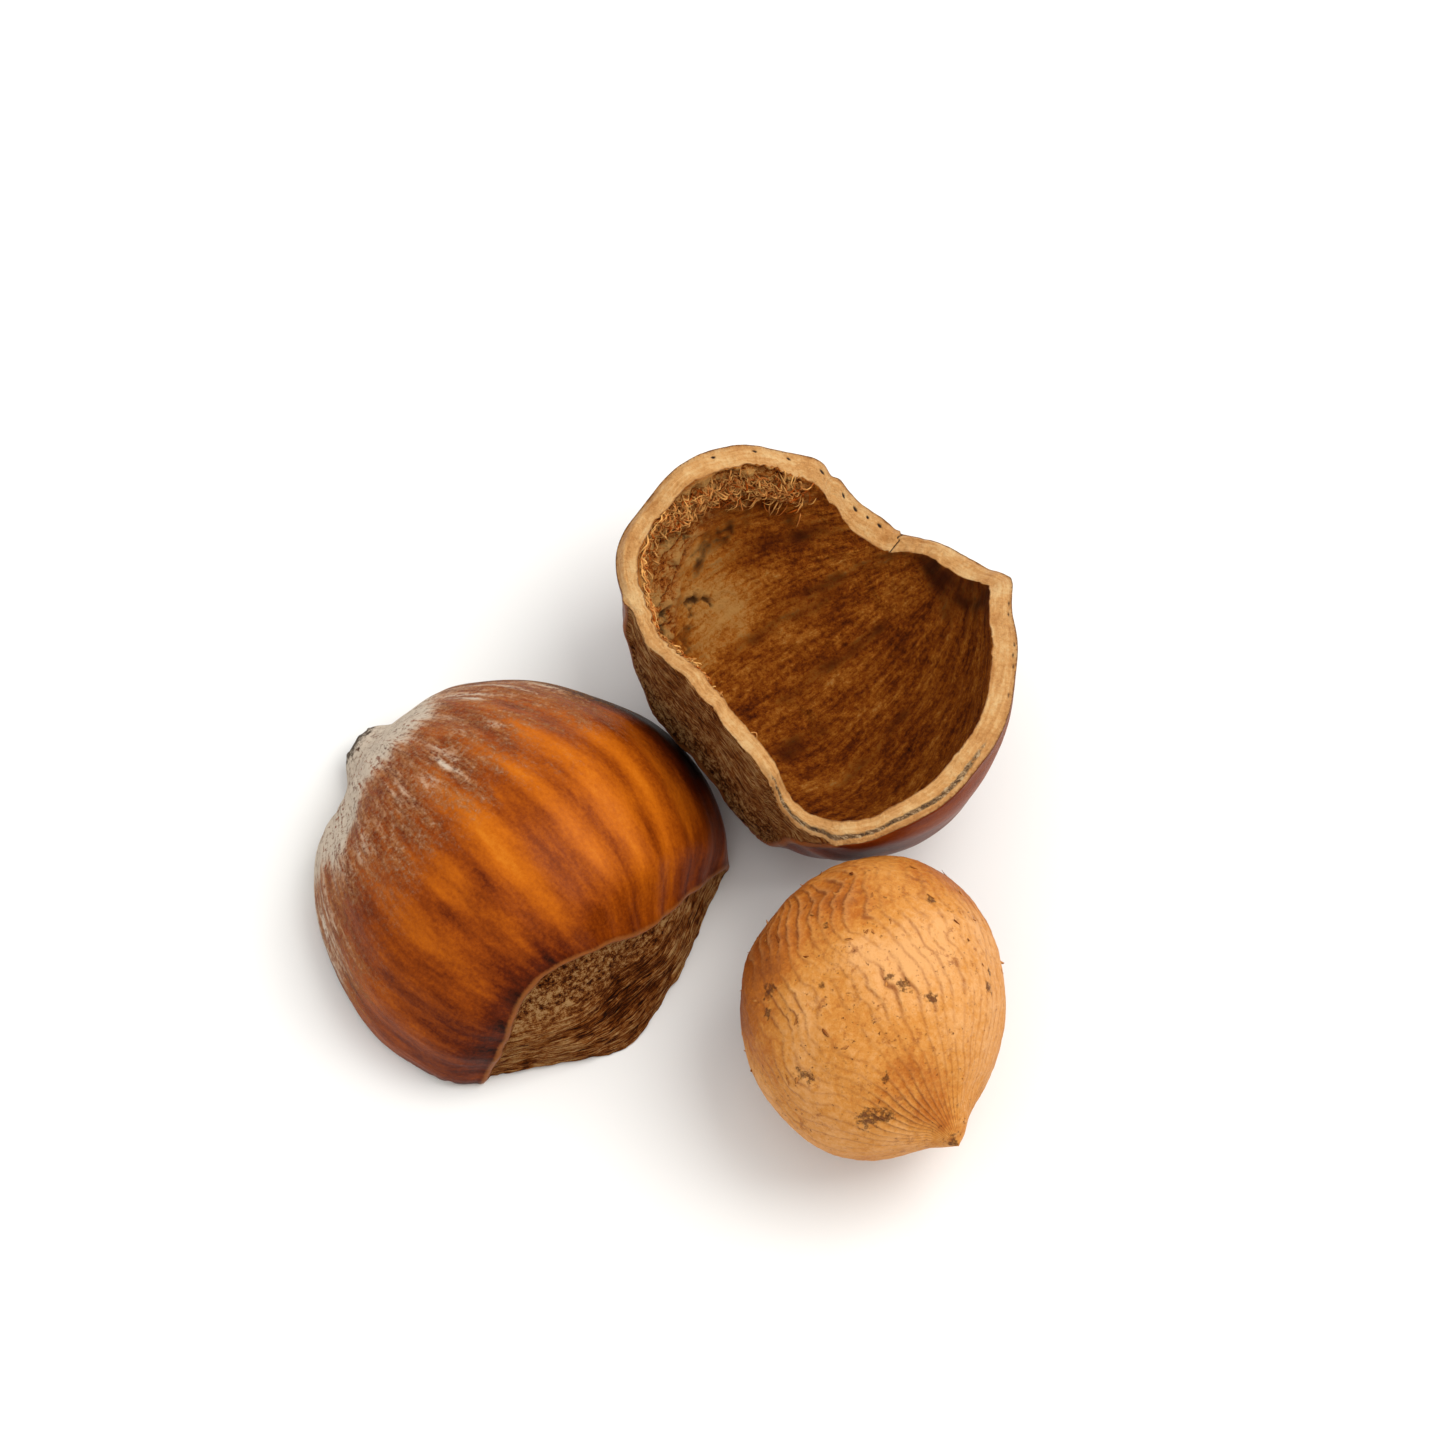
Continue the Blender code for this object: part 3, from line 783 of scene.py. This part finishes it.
def downy_skin(look, place, dust, redness):
    """Striped skin under its pale down: colour, specks and how much the down covers."""
    grain = look.fact("grain", vector=True)
    frost = look.fact("frost")
    streaks = look.noise(look.stretch(grain, (1.5, 1.5, 0.35)), 1.0, 3.0, 0.6)
    tone = look.plus(look.fact("tone"), (streaks, 0.26), (dust, 0.17))
    shell = look.ramp(tone, ((0.02, (30, 7, 2)), (0.22, (98, 34, 4)), (0.40, (146, 64, 8)),
                             (0.56, (180, 88, 12)), (0.72, (204, 106, 16)), (0.92, (224, 130, 32))))
    shell = look.mix(redness, shell, (112, 44, 20))

    speck = look.noise(place, 3.6, 5.0, 0.8)
    hairs = look.noise(look.stretch(grain, (5.0, 5.0, 1.0)), 1.0, 3.0, 0.7)
    cover = look.between(look.times(frost, look.plus(1.0, (speck, 2.3), (hairs, 1.5))), 0.12, 0.85)
    pale = look.mix(look.between(frost, 0.45, 0.95), (232, 160, 96), (236, 218, 196))
    pale = look.paint(pale, (248, 232, 212), speck, 0.45, 0.95, 0.5)
    holes = look.times(look.between(speck, 0.42, 0.12), look.between(frost, 0.5, 0.95))
    pale = look.mix(look.times(holes, 0.5), pale, (176, 134, 98))
    strength = look.plus(0.5, look.times(look.between(frost, 0.5, 0.9), 0.46))
    frosted = look.mix(look.times(cover, strength), shell, pale)
    from_tip = look.plus(look.fact("from_tip"), (speck, 0.06))
    return look.paint(frosted, (70, 56, 42), from_tip, 0.088, 0.060, 0.9), speck, cover


def shell_look(name, redness, scar_middle):
    """Satin striped shell with its pale down and the rough scar."""
    look = Look(name, Specular_IOR_Level=0.045)
    place = look.place_mm()
    past = look.fact("past_scar")
    dust = look.noise(place, 5.0, 4.0, 0.7)
    frosted, speck, cover = downy_skin(look, place, dust, redness)
    crust, crust_value = crust_colour(look, place, scar_middle)
    edge = look.plus(past, (dust, 0.05))
    lip = look.times(look.between(edge, -0.22, -0.10), look.between(edge, 0.06, -0.01))
    dusk = look.times(look.between(edge, -0.40, -0.13), look.between(edge, -0.05, -0.12))
    glossy = look.mix(look.times(dusk, 0.35), frosted, (60, 18, 4))
    glossy = look.mix(look.times(lip, 0.7), glossy, (164, 98, 46))
    in_scar = look.between(edge, 0.0, 0.05)
    colour = look.mix(in_scar, glossy, crust)

    matt = look.sums("MAXIMUM", in_scar, look.times(cover, 0.8))
    roughness = look.put("ShaderNodeMapRange", {"Value": matt, "To Min": 0.30, "To Max": 0.9}).outputs[0]
    height = look.plus(look.times(crust_value, look.times(in_scar, 1.2)),
                       look.times(speck, look.plus(0.04, look.times(cover, 0.3))))
    return look.finish(Base_Color=colour, Roughness=roughness, Normal=look.bump(height, 0.00022))


def broken_look():
    """Pale broken edge of the shell with its pores and open layer."""
    look = Look("broken_edge", Roughness=0.62, Specular_IOR_Level=0.25)
    place = look.place_mm()
    wall = look.fact("wall")
    grain = look.noise(place, 4.0, 5.0, 0.7)
    patch = look.noise(place, 0.7, 2.0, 0.5)
    rim_grain = look.fact("rim_grain", vector=True)
    layers = look.shift(look.stretch(rim_grain, (0.5, 0.5, 0.0)), wall, (0, 0, 6.0))
    bands = look.noise(layers, 1.0, 4.0, 0.65)
    wood = look.ramp(look.plus(0.5, (grain, 0.35), (patch, 0.35), (bands, 0.45)),
                     ((0.22, (204, 138, 70)), (0.5, (234, 173, 103)), (0.78, (252, 206, 142))))
    ragged_wall = look.plus(wall, (grain, 0.10))
    wood = look.paint(wood, (180, 120, 62), ragged_wall, 0.30, 0.05, 0.35)
    wood = look.paint(wood, (112, 66, 30), ragged_wall, 0.07, 0.0, 0.8)
    wood = look.paint(wood, (150, 82, 30), ragged_wall, 0.93, 1.0, 0.7)
    fibres = look.noise(look.stretch(rim_grain, (2.0, 2.0, 9.0)), 1.0, 4.0, 0.8)
    grey = look.ramp(look.plus(fibres, look.times(wall, 0.3)),
                     ((0.36, (54, 34, 18)), (0.62, (142, 106, 68)), (0.86, (218, 186, 140))))
    open_layer = look.times(look.fact("layer"), look.plus(0.9, (fibres, 1.2), (grain, 0.8)))
    wood = look.mix(look.between(open_layer, 0.18, 0.60), wood, grey)
    wood = look.paint(wood, (52, 28, 14), look.fact("dark"), 0.3, 0.7, 1.0)
    return look.finish(Base_Color=wood, Normal=look.bump(grain, 0.00012))


def lining_look(name):
    """Brown fibrous lining with dark streaks, painted shade at the tip end and in the hollows, a patch of
    painted light on the left and a torn part.
    """
    look = Look(name, Roughness=0.8, Specular_IOR_Level=0.08)
    place = look.place_mm()
    grain = look.fact("grain", vector=True)
    rim_grain = look.fact("rim_grain", vector=True)
    torn = look.fact("torn")
    patches = look.noise(look.stretch(grain, (0.6, 0.6, 0.22)), 1.0, 3.0, 0.6)
    streaks = look.noise(look.stretch(grain, (2.8, 2.8, 0.55)), 1.0, 5.0, 0.75)
    spots = look.noise(place, 3.6, 6.0, 0.85)
    # The fact pale adds painted light on the lining's left wall, which faces the window.
    tone = look.plus(0.52, look.fact("pale"), (patches, 0.28), (streaks, 0.42), (spots, 0.55))
    plain = look.ramp(tone, ((0.16, (56, 15, 2)), (0.36, (116, 47, 3)), (0.53, (168, 83, 10)),
                             (0.70, (214, 126, 38)), (0.92, (238, 172, 92))))
    # Dark streaks, with painted shade at the tip end and in the hollows, laid over the plain and the torn
    # lining.
    shade = look.between(look.plus(look.fact("shade"), (spots, 0.45), (streaks, 0.55)), 0.22, 0.95)
    plain = look.mix(look.times(shade, 0.9), plain, (50, 10, 1))
    threads = look.noise(look.stretch(rim_grain, (1.5, 1.5, 6.0)), 1.0, 6.0, 0.85)
    crumbs = look.noise(place, 3.4, 6.0, 0.85)
    # The clump relief paints shade into the cavities of the torn lining and paints the raised clumps lighter.
    clumps = look.times(look.fact("clumps"), 1.3)
    ragged = look.ramp(look.plus(0.38, clumps, (threads, 0.95), (crumbs, 0.75)),
                       ((0.20, (66, 20, 2)), (0.40, (160, 74, 12)), (0.58, (232, 130, 42)),
                        (0.84, (255, 188, 106))))
    ragged = look.mix(look.times(shade, 0.8), ragged, (40, 12, 4))
    colour = look.mix(torn, plain, ragged)
    height = look.plus((streaks, 0.3), (spots, 0.5), look.times(torn, look.plus((threads, 0.6))))
    return look.finish(Base_Color=colour, Normal=look.bump(height, 0.0003))


def fibre_look(name, dark, light):
    """Matt fibres or flakes, each between a dark and a light colour."""
    look = Look(name, Roughness=0.8, Specular_IOR_Level=0.05)
    tone = look.plus(look.fact("tone"), (look.noise(look.place_mm(), 3.0, 2.0, 0.5), 0.4))
    return look.finish(Base_Color=look.ramp(tone, ((0.1, dark), (0.9, light))))


def kernel_look():
    """Papery tan skin with brown lines in the growth ridges, partly painted shade, painted highlights on the
    ridge tops, specks and scabs.
    """
    look = Look("kernel_skin", Roughness=0.55, Specular_IOR_Level=0.16)
    place = look.place_mm()
    grain = look.noise(place, 3.0, 5.0, 0.7)
    cloud = look.noise(place, 0.3, 3.0, 0.5)
    tone = look.plus(look.fact("tone"), (cloud, 0.30), (grain, 0.32))
    skin = look.ramp(tone, ((0.10, (152, 74, 6)), (0.34, (194, 108, 24)), (0.55, (222, 146, 60)),
                            (0.80, (242, 176, 108))))
    # Painted highlight on the top of each growth ridge.
    skin = look.mix(look.times(look.fact("lift"), 0.25), skin, (246, 190, 120))
    broken = look.between(look.noise(place, 1.1, 3.0, 0.6), 0.15, 0.5)
    # Brown line at each ridge's step, darkened partly as painted shade.
    skin = look.mix(look.times(look.times(look.fact("line"), broken), 0.85), skin, (150, 80, 30))
    crumbs = look.noise(place, 3.6, 5.0, 0.75)
    scab = look.between(look.plus(look.fact("scab"), (crumbs, 2.2)), 0.50, 1.5)
    skin = look.mix(look.times(scab, 0.85), skin, (104, 50, 16))
    where = look.between(look.noise(place, 0.22, 2.0, 0.5), 0.30, 0.60)
    blotch = look.between(look.noise(place, 1.3, 5.0, 0.75), 0.60, 0.90)
    skin = look.mix(look.times(look.times(blotch, where), 0.65), skin, (150, 80, 32))
    skin = look.paint(skin, (130, 66, 26), crumbs, 0.76, 0.92, 0.7)
    height = look.plus((grain, 0.25), look.times(scab, 0.4))
    return look.finish(Base_Color=skin, Normal=look.bump(height, 0.0002))


def make_domed_half(looks):
    """The half that lies rim down."""
    theta = crack_columns(SHELL_COLUMNS, ((0, 8, 2.5), (121, 5, 2.0), (180, 40, 0.5)))
    start, rows, end, facts, zones = shell_grid(DOMED_HALF, theta, domed_crack(theta), 1, DOMED_ROWS)
    facts.update(shell_facts(rows, domed_tone_and_shade, domed_frost))
    parts = [place(part, DOMED_POSE) for part in (start, rows, end)]
    return grid_object("domed_half_detail", *parts, facts, zones, looks)


def make_open_half(looks):
    """The half that lies belly down; its faces are turned, because it lies below its crack."""
    closer = ((24, 6, 3.0), (40, 14, 1.2), (-143, 7, 2.0), (-15, 6, 1.2), (110, 40, 0.4))
    theta = crack_columns(SHELL_COLUMNS, closer)
    start, rows, end, facts, zones = shell_grid(OPEN_HALF, theta, open_crack(theta), -1, OPEN_ROWS)
    facts.update(shell_facts(rows, open_tone, open_frost))
    parts = [place(part, OPEN_POSE)[..., ::-1, :] for part in (start, rows, end)]
    facts = {key: value[:, ::-1] for key, value in facts.items()}
    return grid_object("open_half_detail", *parts, facts, zones, looks)


def make_lining_fibres(count, look):
    """Loose fibres that stand on the torn lining near the rim."""
    draw = np.random.default_rng(17)
    left = count // 2
    degrees = np.concatenate([draw.normal(128, 20, left), draw.uniform(56, 100, count - left)])
    theta = np.radians(degrees)
    rim = round_curve(degrees, OPEN_RIM)
    near_rim, lower = 1.5 + 12 * draw.random(count)**1.8, 7 + 10 * draw.random(count)
    deep = np.where(degrees > 100, near_rim, lower)
    phi = np.radians(rim - deep)
    steps = np.linspace(0, 1, 6)
    heading = draw.normal(0, 0.75, count) + np.where(draw.random(count) < 0.25, 1.5, 0)
    length = draw.uniform(0.3, 1.15, count) / LINING_SIZE
    bend = draw.normal(0, 0.8, count)[:, None] * steps
    turned = heading[:, None] + bend
    step = length[:, None] / 5
    thetas = theta[:, None] + np.cumsum(np.cos(turned) * step, axis=1)
    phis = phi[:, None] + np.cumsum(np.sin(turned) * step, axis=1)
    phis = np.minimum(phis, np.radians(rim - 1.2)[:, None])
    n = direction(thetas, phis)
    lift = draw.uniform(0.05, 0.38, count)[:, None]
    lift = lift * np.sin(steps * draw.uniform(1.6, 3.0, count)[:, None]) - 0.04
    radius = inner_radius(n, OPEN_HALF, torn_lining(n)) - lift
    paths = place(n * radius[..., None], OPEN_POSE)
    outward = n @ turn(OPEN_POSE).T
    half_width = draw.uniform(0.03, 0.11, count)[:, None] * (1 - 0.7 * steps)
    tones = draw.random(count)
    return strands_object("lining_fibres", paths, outward, half_width, half_width * 0.7, tones, look)


def terrace(n):
    """Growth ridges of the kernel: height of the terrace and strength of the brown line at its step, partly
    painted shade.
    """
    from_tip, around = axis_angles(n)
    points = n * KERNEL_SIZE
    sway = lumps(np.stack([around / 80, from_tip / 34, 0 * around], axis=-1), 1.0, 91)
    bend = lumps(np.stack([around / 48, from_tip / 12, 0 * around], axis=-1), 1.0, 92)
    crinkle = 0.24 * rough(points, 0.9, 93, 2) * fade(from_tip, 30, 80)
    calm = fade(from_tip, 6, 50)
    spread = 0.5 * lumps(np.stack([around / 16, from_tip / 70, 0 * around], axis=-1), 1.0, 90)
    u = TERRACES * around / 360 + (1.1 * sway + 0.62 * bend + spread + crinkle) * calm
    t = u - np.floor(u)
    strength = 0.12 + 0.88 * fade(lumps(points, 2.6, 94), -0.4, 0.5)
    strength = strength * (0.35 + 0.65 * fade(around, 44, 74))
    ends = fade(from_tip, 4, 22) * fade(from_tip, 176, 150)
    height = (t**2 * (1 - fade(t, 0.93, 1.0)) - 0.33) * strength * ends
    line = np.exp(-(np.minimum(t, 1 - t) / 0.10)**2) * (0.3 + 0.7 * strength)
    return height, line


def kernel_bumps(from_tip, around):
    """Sum of the kernel's local swellings and hollows."""
    total = np.zeros(np.broadcast(from_tip, around).shape)
    for tip, turned, height, spread in KERNEL_BUMPS:
        sideways = (around - turned + 180) % 360 - 180
        off = np.hypot(from_tip - tip, sideways * np.sin(np.radians(from_tip)))
        total = total + height * np.exp(-(off / spread)**2)
    return total


def kernel_radius(n):
    """Surface of the kernel with its keel, ridges and terraces."""
    from_tip, around = axis_angles(n)
    along, across, out = n[..., 0], n[..., 1], n[..., 2]
    lean, lift, skew = KERNEL_LEAN
    plain = egg_radius(n, KERNEL_PROFILE) * (1 + lean * across + lift * out + skew * along * across)
    wander = 18 * np.sin(np.radians(3 * from_tip)) + 9 * np.sin(np.radians(7 * from_tip + 2 * around))
    ridges = np.sin(np.radians(12 * around + wander)) * np.sin(np.radians(np.clip(from_tip - 8, 0, 172)))
    at, height, width = KERNEL_KEEL
    keel = height * hump(around, at, width) * fade(from_tip, 3, 16) * fade(from_tip, 90, 45)
    steps, _ = terrace(n)
    fine = 0.02 * rough(n * KERNEL_SIZE, 0.5, 95)
    hollows = kernel_bumps(from_tip, around)
    return plain + keel + hollows + KERNEL_RIDGE * ridges + TERRACE_HEIGHT * steps + fine


def kernel_facts(n):
    """Values that the kernel's material reads at each point."""
    from_tip, around = axis_angles(n)
    height, line = terrace(n)
    # Painted highlight along the keel side of the kernel.
    tone = 0.60 + 0.18 * hump(around, 62, 34) * fade(from_tip, 20, 50)
    tone = tone - 0.32 * fade(from_tip, 88, 122)
    # Painted shade in the hollow beside the tip.
    tone = tone - 0.30 * hump(around, 104, 34) * fade(from_tip, 84, 18) * fade(from_tip, 3, 9)
    # Painted shade on the kernel's side away from the window.
    tone = tone - 0.16 * fade(around, 118, 150) * fade(from_tip, 66, 96)
    scab = fade(from_tip, 5.5, 1.5) * fade(around, 60, 110)
    warped = n + 0.02 * np.stack([lumps(n * KERNEL_SIZE, 0.5, 97 + k) for k in range(3)], axis=-1)
    for tip, turned, radius in SCABS:
        centre = axis_direction(np.radians(tip), np.radians(turned))
        off = KERNEL_GIRTH * np.linalg.norm(warped - centre, axis=-1)
        scab = np.maximum(scab, fade(off, radius * 1.4, radius * 0.4))
    # lift carries the painted highlight on the ridge tops.
    return {"line": line, "lift": np.clip(height / 0.6 + 0.4, 0, 1)**2, "tone": tone, "scab": scab}


def make_kernel(looks):
    """The kernel, in rows from its tip to its base."""
    columns, count = KERNEL_GRID
    around = np.linspace(0, 2 * math.pi, columns, endpoint=False)
    share = np.linspace(0, 1, count + 2)[1:-1]
    from_tip = np.radians(180 * (0.25 * share**2 + 0.75 * share))[:, None]
    n = axis_direction(from_tip * np.ones_like(around), around)
    rows = n * kernel_radius(n)[..., None]
    start = np.array([[kernel_radius(np.array([[1.0, 0, 0]]))[0], 0, 0]])
    end = np.array([[-kernel_radius(np.array([[-1.0, 0, 0]]))[0], 0, 0]])
    parts = [place(part, KERNEL_POSE) for part in (start, rows, end)]
    return grid_object("kernel_detail", *parts, kernel_facts(n), [0] * (count - 1), looks)


def make_kernel_flakes(count, look):
    """Small lifted scales of the papery skin."""
    draw = np.random.default_rng(23)
    from_tip = np.radians(draw.uniform(60, 160, count))
    around = np.radians(draw.uniform(-20, 200, count))
    heading = draw.uniform(0, 2 * math.pi, count)
    steps = np.linspace(0, 1, 5)
    length = draw.uniform(0.2, 0.6, count) / KERNEL_GIRTH
    from_tips = from_tip[:, None] + np.cos(heading)[:, None] * length[:, None] * steps
    arounds = around[:, None] + np.sin(heading)[:, None] * length[:, None] * steps
    n = axis_direction(from_tips, arounds)
    lift = draw.uniform(0.03, 0.20, count)[:, None] * steps**1.6
    paths = place(n * (kernel_radius(n) - 0.02 + lift)[..., None], KERNEL_POSE)
    outward = n @ turn(KERNEL_POSE).T
    half_width = draw.uniform(0.05, 0.16, count)[:, None] * (1 - 0.75 * steps**2)
    thickness, tones = 0.2 * half_width + 0.006, draw.random(count)
    return strands_object("kernel_flakes", paths, outward, half_width, thickness, tones, look)


def dress(piece, node):
    """Lets the piece stand for a node of the part."""
    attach(piece, "root")
    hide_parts(node)


def make_floor():
    """Plain pale table top."""
    mesh = bpy.data.meshes.new("table_top")
    corners = [(x * FLOOR_REACH, y * FLOOR_REACH, 0) for x, y in ((-1, -1), (1, -1), (1, 1), (-1, 1))]
    mesh.from_pydata(corners, [], [(0, 1, 2, 3)])
    look = Look("white_table", Roughness=0.9, Specular_IOR_Level=0.1)
    look.surface.inputs["Base Color"].default_value = FLOOR_COLOUR
    mesh.materials.append(look.material)
    floor = bpy.data.objects.new("table_top", mesh)
    bpy.context.scene.collection.objects.link(floor)


def soft_light(name, place_at, side, watts, colour):
    """Square lamp that faces the nut."""
    lamp = bpy.data.lights.new(name, "AREA")
    lamp.shape = "SQUARE"
    lamp.size = side
    lamp.energy = watts
    lamp.color = colour
    item = bpy.data.objects.new(name, lamp)
    item.location = place_at
    item.rotation_euler = (-Vector(place_at)).to_track_quat("-Z", "Y").to_euler()
    bpy.context.scene.collection.objects.link(item)


def make_light():
    """White room and the window."""
    world = bpy.data.worlds.new("studio")
    world.use_nodes = True
    background = world.node_tree.nodes["Background"]
    background.inputs["Color"].default_value = ROOM_COLOUR
    background.inputs["Strength"].default_value = ROOM_LIGHT
    bpy.context.scene.world = world
    soft_light("window", WINDOW_AT, WINDOW_SIDE, WINDOW_WATTS, WINDOW_COLOUR)


def make_camera():
    """Far lens above the table, aimed at the middle of the photograph."""
    lens = bpy.data.cameras.new("camera")
    lens.sensor_width = 36.0
    lens.lens = lens.sensor_width * PIXELS_PER_MM * CAMERA_DISTANCE / PICTURE_SIDE
    lens.clip_start = 0.01
    lens.clip_end = 10.0
    tilt = math.radians(CAMERA_ELEVATION)
    back = Vector((0, -math.cos(tilt), math.sin(tilt)))
    aim = Vector((-GROUP_MIDDLE[0], -GROUP_MIDDLE[1], AIM_HEIGHT))
    camera = bpy.data.objects.new("camera", lens)
    camera.location = (aim + back * CAMERA_DISTANCE) * MM
    camera.rotation_euler = (-back).to_track_quat("-Z", "Y").to_euler()
    bpy.context.scene.collection.objects.link(camera)
    bpy.context.scene.camera = camera


broken = broken_look()
fibres = fibre_look("lining_fibre", (186, 88, 18), (255, 190, 108))
flakes = fibre_look("skin_flake", (128, 62, 20), (224, 150, 78))
domed_looks = [shell_look("domed_shell", 0.0, 0.64), broken, lining_look("domed_lining")]
dress(make_domed_half(domed_looks), "shell_half_domed")
open_looks = [shell_look("open_shell", 0.45, 0.62), broken, lining_look("open_lining")]
dress(make_open_half(open_looks), "shell_half_open")
dress(make_lining_fibres(LINING_FIBRES, fibres), "shell_half_open")
dress(make_kernel([kernel_look()]), "kernel")
dress(make_kernel_flakes(KERNEL_FLAKES, flakes), "kernel")
make_floor()
make_light()
make_camera()
bpy.context.scene.view_settings.view_transform = "Standard"
